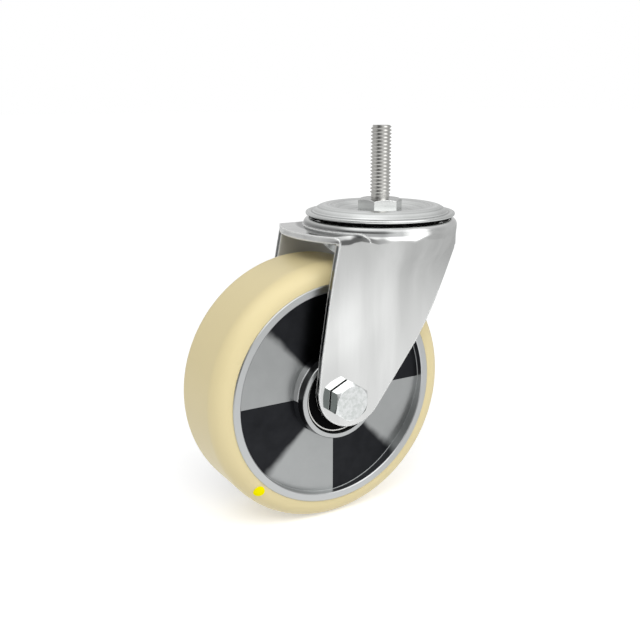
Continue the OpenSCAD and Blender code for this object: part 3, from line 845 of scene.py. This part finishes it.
@dataclass
class Assembly:
    """A sub-assembly: it builds its meshes with bmesh and dresses them and the CAD nodes that stay."""

    body: str

    def dress(self, finishes: dict[str, Finish]) -> None:
        """Gives CAD nodes their finishes.

        Args:
            finishes: Finish of each node, by the node's name.
        """
        for name, finish in finishes.items():
            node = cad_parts[name]
            node.data.materials.clear()
            node.data.materials.append(finish.material())

    def piece(self, bm: bmesh.types.BMesh, name: str, finish: Finish, slot: str, axis: Axis = Axis.SWIVEL,
              replaces: Sequence[str] = (), sharp: float = 32.0) -> None:
        """Makes a finished piece of a mesh drawn in millimetres about its own Z axis.

        Args:
            bm: The mesh; it is freed.
            name: Name of the piece.
            finish: Finish of the piece.
            slot: Material slot of the record; not used.
            axis: Axis that the mesh was drawn about.
            replaces: CAD nodes that the piece stands for.
            sharp: Edges that turn by more than this many degrees stay crisp.
        """
        bmesh.ops.remove_doubles(bm, verts=bm.verts, dist=1e-4)
        bmesh.ops.recalc_face_normals(bm, faces=bm.faces)
        bmesh.ops.transform(bm, matrix=Matrix.Scale(MM, 4) @ axis.matrix, verts=bm.verts)
        mesh = bpy.data.meshes.new(name)
        bm.to_mesh(mesh)
        bm.free()
        mesh.shade_smooth()
        mesh.set_sharp_from_angle(angle=math.radians(sharp))
        mesh.materials.append(finish.material())
        made = bpy.data.objects.new(name, mesh)
        bpy.context.scene.collection.objects.link(made)
        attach(made, self.body)
        if replaces:
            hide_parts(*replaces)
        log.info("%s: %d faces on %s", name, len(mesh.polygons), self.body)


@dataclass
class ThreadedStem(Assembly):
    """King pin: rolled thread, plain neck, hexagon collar and the shank inside the head."""

    thread_r: float = 5.0
    root_r: float = 4.12
    pitch: float = 1.66
    start: float = 0.13
    neck_r: float = 4.45
    neck_h: float = 1.3
    length: float = 34.5
    chamfer: float = 0.9
    collar_af: float = 19.0
    collar_h: float = 6.0
    collar_chamfer: float = 0.75
    collar_turn: float = 41.0

    def build(self) -> None:
        """Makes the thread and the collar with the shank."""
        self.piece(self.thread(), "stem_thread", STEM_STEEL, "turned_steel")
        collar = hexagon(self.collar_af, self.collar_h, self.collar_chamfer, self.collar_turn)
        bmesh.ops.translate(collar, verts=collar.verts, vec=(0, 0, -self.collar_h))
        self.piece(collar, "hexagon_collar", TURNED, "turned_steel", replaces=["threaded_stem"])
        low = list(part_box("threaded_stem"))[0].z / MM
        profile = [(0, -5.9), (8, -5.9), (8, -18.2), (6, -18.3), (6, low + 0.8), (5.2, low), (0, low)]
        self.piece(revolve(profile, 96, False), "king_pin_shank", TURNED, "turned_steel")

    def thread(self) -> bmesh.types.BMesh:
        """Sweeps one thread profile up the stem, then forms its neck, run-out and chamfer.

        Returns:
            The mesh of the stem.
        """
        p = self.pitch
        steps = 48
        turns = math.ceil(self.length / p) + 2
        half = [(self.root_r, 0.0), (self.root_r, 0.12), (self.thread_r - 0.08, 0.41), (self.thread_r, 0.46)]
        shape = half + [(r, 1 - share) for r, share in reversed(half)]
        bm = bmesh.new()
        verts = [bm.verts.new((r, 0.0, share * p - p - self.start)) for r, share in shape]
        edges = [bm.edges.new(pair) for pair in zip(verts, verts[1:])]
        bmesh.ops.spin(bm, geom=verts + edges, axis=(0, 0, 1), cent=(0, 0, 0), dvec=(0, 0, p / steps),
                       angle=math.tau * turns, steps=steps * turns)
        bmesh.ops.remove_doubles(bm, verts=bm.verts, dist=1e-3)
        for z, side in ((0.0, -1.0), (self.length, 1.0)):
            cut = bmesh.ops.bisect_plane(bm, geom=bm.verts[:] + bm.edges[:] + bm.faces[:], plane_co=(0, 0, z),
                                         plane_no=(0, 0, side), clear_outer=True)
            loop = [g for g in cut["geom_cut"] if isinstance(g, bmesh.types.BMEdge)]
            bmesh.ops.contextual_create(bm, geom=loop)
        for v in bm.verts:
            r = v.co.xy.length
            fade = min(max((v.co.z - self.neck_h) / p, 0.0), 1.0)
            wanted = self.neck_r + (r - self.neck_r) * fade
            wanted = min(wanted, self.thread_r - max(0.0, v.co.z - self.length + self.chamfer))
            v.co.xy *= wanted / r
        return bm


@dataclass
class TopCover(Assembly):
    """Domed cover: rolled lip, step, dome and dished centre, pressed and then turned bright."""

    bore: float = 8.05
    under: float = -5.4

    def build(self) -> None:
        """Spins the section of the cover and dresses the seal and the hidden race parts."""
        dish = [(self.bore, -6.0), (12.0, -6.0), (15.5, -6.0), (17.2, -5.75), (19.4, -5.1), (22.0, -3.65)]
        dome = [(24.4, -3.05), (26.6, -2.9), (28.4, -3.0), (30.2, -3.75), (32.0, -5.2)]
        lip = [(32.9, -6.05), (33.3, -6.2), (33.8, -6.1), (34.6, -6.0), (35.6, -6.0), (36.1, -6.35),
               (36.1, -7.2), (35.6, -7.6), (34.4, -7.6)]
        below = [(31.5, -7.6), (30.4, -6.6), (28.5, self.under), (24.0, self.under), (19.0, -7.9),
                 (15.4, -8.5), (self.bore, -8.5)]
        section = corner_cut(dish + dome + lip, 2) + below
        self.piece(revolve(section, 224), "turned_cover", ZINC_COVER, "zinc_cover", replaces=["top_cover"])
        self.dress({"dust_seal": RUBBER, "lower_race_cup": ZINC_COVER, "king_nut": FASTENER})


@dataclass
class BallRaces(Assembly):
    """Balls and cages of the swivel head, out of sight."""

    row: str = "upper"

    def build(self) -> None:
        """Dresses one ball row and its cage."""
        self.dress({f"{self.row}_race_balls": BEARING, f"{self.row}_ball_cage": CAGE})


@dataclass
class Fork(Assembly):
    """Pressed fork with its axle bolt, nut and distance pieces."""

    leg_face: float = 28.0
    bolt_af: float = 16.4
    head_h: float = 6.4
    head_chamfer: float = 1.1
    head_turn: float = 4.7
    foot_h: float = 0.8
    foot_in: float = 1.8
    shank_r: float = 5.0

    def build(self) -> None:
        """Makes the bolt and dresses the fork and the axle parts."""
        self.dress({"fork": ZINC_SHEET, "axle_sleeve": TURNED, "bearing_spacer": TURNED, "nut_insert": NYLON,
                    "near_collar": FASTENER, "far_collar": FASTENER, "axle_washer": FASTENER,
                    "axle_nut": FASTENER, "near_inner_ring": BEARING, "far_inner_ring": BEARING})
        head = hexagon(self.bolt_af, self.head_h - self.foot_h, self.head_chamfer, -90 - self.head_turn)
        bmesh.ops.translate(head, verts=head.verts, vec=(0, 0, self.foot_h))
        bmesh.ops.rotate(head, verts=head.verts, cent=(0, 0, 0), matrix=Matrix.Rotation(math.pi, 3, "X"))
        bmesh.ops.translate(head, verts=head.verts, vec=(0, 0, -self.leg_face))
        self.piece(head, "bolt_head", BOLT, "zinc_fasteners", Axis.AXLE, replaces=["axle_bolt"])
        face = self.bolt_af / 2 - self.foot_in
        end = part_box("axle_bolt")[1].y / MM
        foot = -self.leg_face - self.foot_h
        profile = [(0, foot), (face, foot), (face, -self.leg_face), (self.shank_r, -self.leg_face),
                   (self.shank_r, end - 0.8), (self.shank_r - 0.8, end), (0, end)]
        self.piece(revolve(profile, 96, False), "bolt_shank", BOLT, "zinc_fasteners", Axis.AXLE)


@dataclass
class Wheel(Assembly):
    """Aluminium centre with the cream tread, its dot and the outer parts of the bearings."""

    def build(self) -> None:
        """Dresses the wheel."""
        self.dress({"rim": WHEEL_METAL, "tread": CREAM, "antistatic_dot": YELLOW, "near_seal": RUBBER,
                    "far_seal": RUBBER, "near_outer_ring": OUTER_RING, "far_outer_ring": OUTER_RING})


@dataclass
class WheelBearing(Assembly):
    """Balls and cage of one wheel bearing, behind its seal."""

    side: Side = Side.NEAR

    def build(self) -> None:
        """Dresses the balls and the cage."""
        name = self.side.name.lower()
        self.dress({f"{name}_bearing_balls": BEARING, f"{name}_bearing_cage": CAGE})


@dataclass(frozen=True)
class Studio:
    """Pale floor, white surroundings and two soft lamps, with the camera at the photograph's place.

    The lamps give no hard reflections. Glossy rays find a softly banded room instead, as a product
    table with its paper and screens shows in bright zinc.
    """

    eye: tuple[float, float, float] = (-238.2, -342.0, 48.9)
    tilt: float = 75.18
    turn: float = -30.86
    lens: float = 48.18
    lamp_away: float = 1100.0
    lamp_size: float = 700.0
    floor_size: float = 8000.0
    room_fill: float = 0.5

    def build(self) -> None:
        """Makes the camera, the floor, the world and the lamps."""
        self.camera()
        self.floor()
        self.world()
        self.lamp("key", 232.0, 50.0, 5.4)
        self.lamp("fill", 306.0, 30.0, 3.5)
        bpy.context.scene.view_settings.view_transform = "Standard"

    def camera(self) -> None:
        """Sets the camera where the photograph was taken from."""
        data = bpy.data.cameras.new("camera")
        data.lens = self.lens
        data.sensor_width = 36.0
        data.clip_start = 0.01
        data.clip_end = 20.0
        eye = bpy.data.objects.new("camera", data)
        eye.location = Vector(self.eye) * MM
        eye.rotation_euler = (math.radians(self.tilt), 0.0, math.radians(self.turn))
        bpy.context.scene.collection.objects.link(eye)
        bpy.context.scene.camera = eye

    def floor(self) -> None:
        """Lays a pale floor that keeps the shadow of the castor and grows white far away."""
        bm = bmesh.new()
        bmesh.ops.create_grid(bm, x_segments=1, y_segments=1, size=self.floor_size)
        bmesh.ops.translate(bm, verts=bm.verts, vec=(0.0, 0.0, FLOOR_Z))
        bmesh.ops.scale(bm, verts=bm.verts, vec=(MM, MM, MM))
        mesh = bpy.data.meshes.new("floor")
        bm.to_mesh(mesh)
        bm.free()
        mesh.materials.append(self.paper())
        made = bpy.data.objects.new("floor", mesh)
        bpy.context.scene.collection.objects.link(made)

    def paper(self) -> bpy.types.Material:
        """Makes matt white paper that glows for the camera, and is banded for glossy rays.

        Returns:
            The material of the floor.
        """
        mat = bpy.data.materials.new("matt_white_paper")
        mat.use_nodes = True
        tree = mat.node_tree
        tree.nodes.clear()
        place = add_node(tree, "TexCoord", out="Object")
        far = add_node(tree, "VectorMath", {"operation": "LENGTH", 0: place}, "Value")
        power = add_node(tree, "MapRange", {"From Min": 0.3, "From Max": 1.6, "To Min": 0.4, "To Max": 0.66,
                                            "Value": far})
        sheet = add_node(tree, "BsdfDiffuse", {"Color": linear("#f0f0f0")})
        glow = add_node(tree, "Emission", {"Color": (1, 1, 1, 1), "Strength": power})
        seen = add_node(tree, "LightPath", out="Is Camera Ray")
        lift = add_node(tree, "MixShader", {0: seen, 2: glow})
        plain = add_node(tree, "AddShader", {0: sheet, 1: lift})
        near = add_node(tree, "MapRange", {"interpolation_type": "SMOOTHSTEP", "From Min": 0.3,
                                           "From Max": 0.78, "To Min": 1.52, "To Max": 1.0, "Value": far})
        table = around(tree, place, FLOOR_LEVELS)
        close = add_node(tree, "Math", {"operation": "MULTIPLY", 0: table, 1: near})
        beyond = add_node(tree, "MapRange", {"interpolation_type": "SMOOTHSTEP", "From Min": 0.95,
                                             "From Max": 1.25, "Value": far})
        level = add_node(tree, "Mix", {"data_type": "FLOAT", 0: beyond, 2: close,
                                       3: around(tree, place, ROOM_LEVELS)})
        banded = add_node(tree, "Emission", {"Color": (1, 1, 1, 1), "Strength": level})
        glossy = add_node(tree, "LightPath", out="Is Glossy Ray")
        surface = add_node(tree, "MixShader", {0: glossy, 1: plain, 2: banded})
        add_node(tree, "OutputMaterial", {"Surface": surface})
        return mat

    def world(self) -> None:
        """Makes the surroundings: white to the camera, banded with two soft highlights to glossy rays."""
        world = bpy.data.worlds.new("white_room")
        bpy.context.scene.world = world
        world.use_nodes = True
        tree = world.node_tree
        tree.nodes.clear()
        camera = add_node(tree, "LightPath", out="Is Camera Ray")
        clear = add_node(tree, "LightPath", out="Is Transmission Ray")
        seen = add_node(tree, "Math", {"operation": "MAXIMUM", 0: camera, 1: clear})
        fill, white = (add_node(tree, "Background", {"Color": (1, 1, 1, 1), "Strength": strength})
                       for strength in (self.room_fill, 1.0))
        plain = add_node(tree, "MixShader", {0: seen, 1: fill, 2: white})
        way = add_node(tree, "TexCoord", out="Object")
        rise = add_node(tree, "SeparateXYZ", {0: way}, "Z")
        high = add_node(tree, "MapRange", {"interpolation_type": "SMOOTHSTEP", "From Min": 0.3,
                                           "From Max": 0.9, "Value": rise})
        total = add_node(tree, "Mix", {"data_type": "FLOAT", 0: high, 2: around(tree, way, ROOM_LEVELS),
                                       3: 1.0})
        for azimuth, height, gain in HIGHLIGHTS:
            near = add_node(tree, "VectorMath", {"operation": "DOT_PRODUCT", 0: way,
                                                 1: tuple(direction(azimuth, height))}, "Value")
            glint = add_node(tree, "MapRange", {"interpolation_type": "SMOOTHSTEP", "From Min": 0.8,
                                                "From Max": 0.96, "To Max": gain, "Value": near})
            total = add_node(tree, "Math", {"operation": "ADD", 0: total, 1: glint})
        banded = add_node(tree, "Background", {"Color": (1, 1, 1, 1), "Strength": total})
        glossy = add_node(tree, "LightPath", out="Is Glossy Ray")
        surface = add_node(tree, "MixShader", {0: glossy, 1: plain, 2: banded})
        add_node(tree, "OutputWorld", {"Surface": surface})

    def lamp(self, name: str, azimuth: float, height: float, power: float) -> None:
        """Hangs one square lamp that faces the castor.

        Args:
            name: Name of the lamp.
            azimuth: Its direction from the castor, in degrees from +X.
            height: Its angle above the horizon.
            power: Power in watts.
        """
        data = bpy.data.lights.new(name, "AREA")
        data.shape = "SQUARE"
        data.size = self.lamp_size * MM
        data.energy = power
        lamp = bpy.data.objects.new(name, data)
        way = direction(azimuth, height)
        lamp.location = (Vector((-20, 0, -60)) + way * self.lamp_away) * MM
        lamp.rotation_euler = (-way).to_track_quat("-Z", "Y").to_euler()
        lamp.visible_glossy = False
        bpy.context.scene.collection.objects.link(lamp)


# Azimuth in degrees and grey level of what bright metal mirrors: the table, then the room round it.
FLOOR_LEVELS = ((0, 0.58), (30, 0.56), (75, 0.52), (100, 0.58), (130, 0.66), (170, 0.8), (197, 0.76),
                (235, 0.87), (258, 0.83), (296, 0.7), (308, 0.74), (333, 0.66), (360, 0.58))
ROOM_LEVELS = ((0, 0.62), (30, 0.62), (76, 0.7), (112, 0.68), (140, 0.6), (160, 0.62), (178, 0.42),
               (190, 0.17), (206, 0.17), (224, 0.34), (240, 0.6), (256, 0.88), (281, 0.86), (300, 0.78),
               (317, 0.62), (341, 0.58), (360, 0.62))
# Azimuth, height and gain of the two soft highlights: a window screen in front and a lamp screen above.
HIGHLIGHTS = ((284.0, 32.0, 1.6), (205.0, 60.0, 0.9))

# Pressed sheet, zinc plated: zinc clouds drawn out upright into streaks that paint the legs' reflection
# bands, and pale edges, rubbed and with a painted highlight.
ZINC_SHEET = DrawnSheet("zinc_plated_pressed_sheet", "#dddedd", "#cdcecd", 0.1, cloud_mm=13.0, stretch=7.0,
                        edge_mm=1.5, wear_and_highlight_colour="#fbfcfb")
# Pressed cover, zinc plated and burnished: satin rings round a painted highlight on the crest, with painted
# shade at the step.
ZINC_COVER = TurnedCover("zinc_plated_turned_cover", "#dfe1e0", "#d3d5d4", 0.24)
# Turned steel, zinc plated: even and slightly darker than the sheet.
TURNED = PlatedSteel("zinc_plated_turned_steel", "#cacbca", "#bebfbe", 0.2, wave_depth=0.0)
# Rolled thread, zinc plated: slightly warm, with crisp crests.
STEM_STEEL = RolledThread("zinc_plated_rolled_thread", "#d0cfcb", "#c3c2be", 0.17, edge_mm=0.02,
                          wave_depth=0.0)
# Washers and nuts, barrel plated: a little blue green.
FASTENER = PlatedSteel("zinc_plated_washer", "#d0d3d2", "#c4c8c7", 0.2)
# Forged bolt, barrel plated: a spangled face with a grain as coarse as it needs to show.
BOLT = ForgedBolt("zinc_plated_forged_bolt", "#e0e2e2", "#c9cdcb", 0.2, cloud_mm=1.7, grain_mm=0.8,
                  grain_depth=0.02)
# Cast aluminium, turned: grey satin, with a painted reflection in black and light sectors.
WHEEL_METAL = TurnedWheelMetal("turned_cast_aluminium")
# Bearing steel, ground: a thin bright ring beside the black seal.
OUTER_RING = GroundRing("ground_outer_ring", "#d6d6d2", "#cacac6", 0.2)
# Bearing steel, ground and polished: mirror bright.
BEARING = PlatedSteel("ground_bearing_steel", "#cccdca", "#c0c1be", 0.12)
# Cage steel, pressed and oiled: dull and brownish.
CAGE = PlatedSteel("pressed_cage_steel", "#8f8a78", "#857f6c", 0.3)
# Polyurethane, cast and ground: a creamy satin.
CREAM = Plain("cast_polyurethane", "#e3d4a4", 0.42)
# Rubber, moulded: black without gloss.
RUBBER = Plain("moulded_black_rubber", "#060607", 0.9, gloss=0.08, skin_depth=0.001)
# Nylon, moulded: a milky white.
NYLON = Plain("moulded_nylon", "#e6e6e0", 0.4)
# Paint, stamped on: flat bright yellow.
YELLOW = Plain("yellow_paint", "#fdf203", 0.9, gloss=0.0)


def main() -> None:
    """Builds the sub-assemblies in order, then the studio."""
    for part in (
        ThreadedStem("mounting"),
        TopCover("mounting"),
        BallRaces("upper_cage", "upper"),
        BallRaces("lower_cage", "lower"),
        Fork("swivel_fork"),
        Wheel("wheel"),
        WheelBearing("near_cage", Side.NEAR),
        WheelBearing("far_cage", Side.FAR),
    ):
        part.build()
        log.info("%s built", type(part).__name__)
    Studio().build()


if __name__ == "__main__":
    logging.basicConfig(level=logging.INFO, format="%(message)s")
    main()
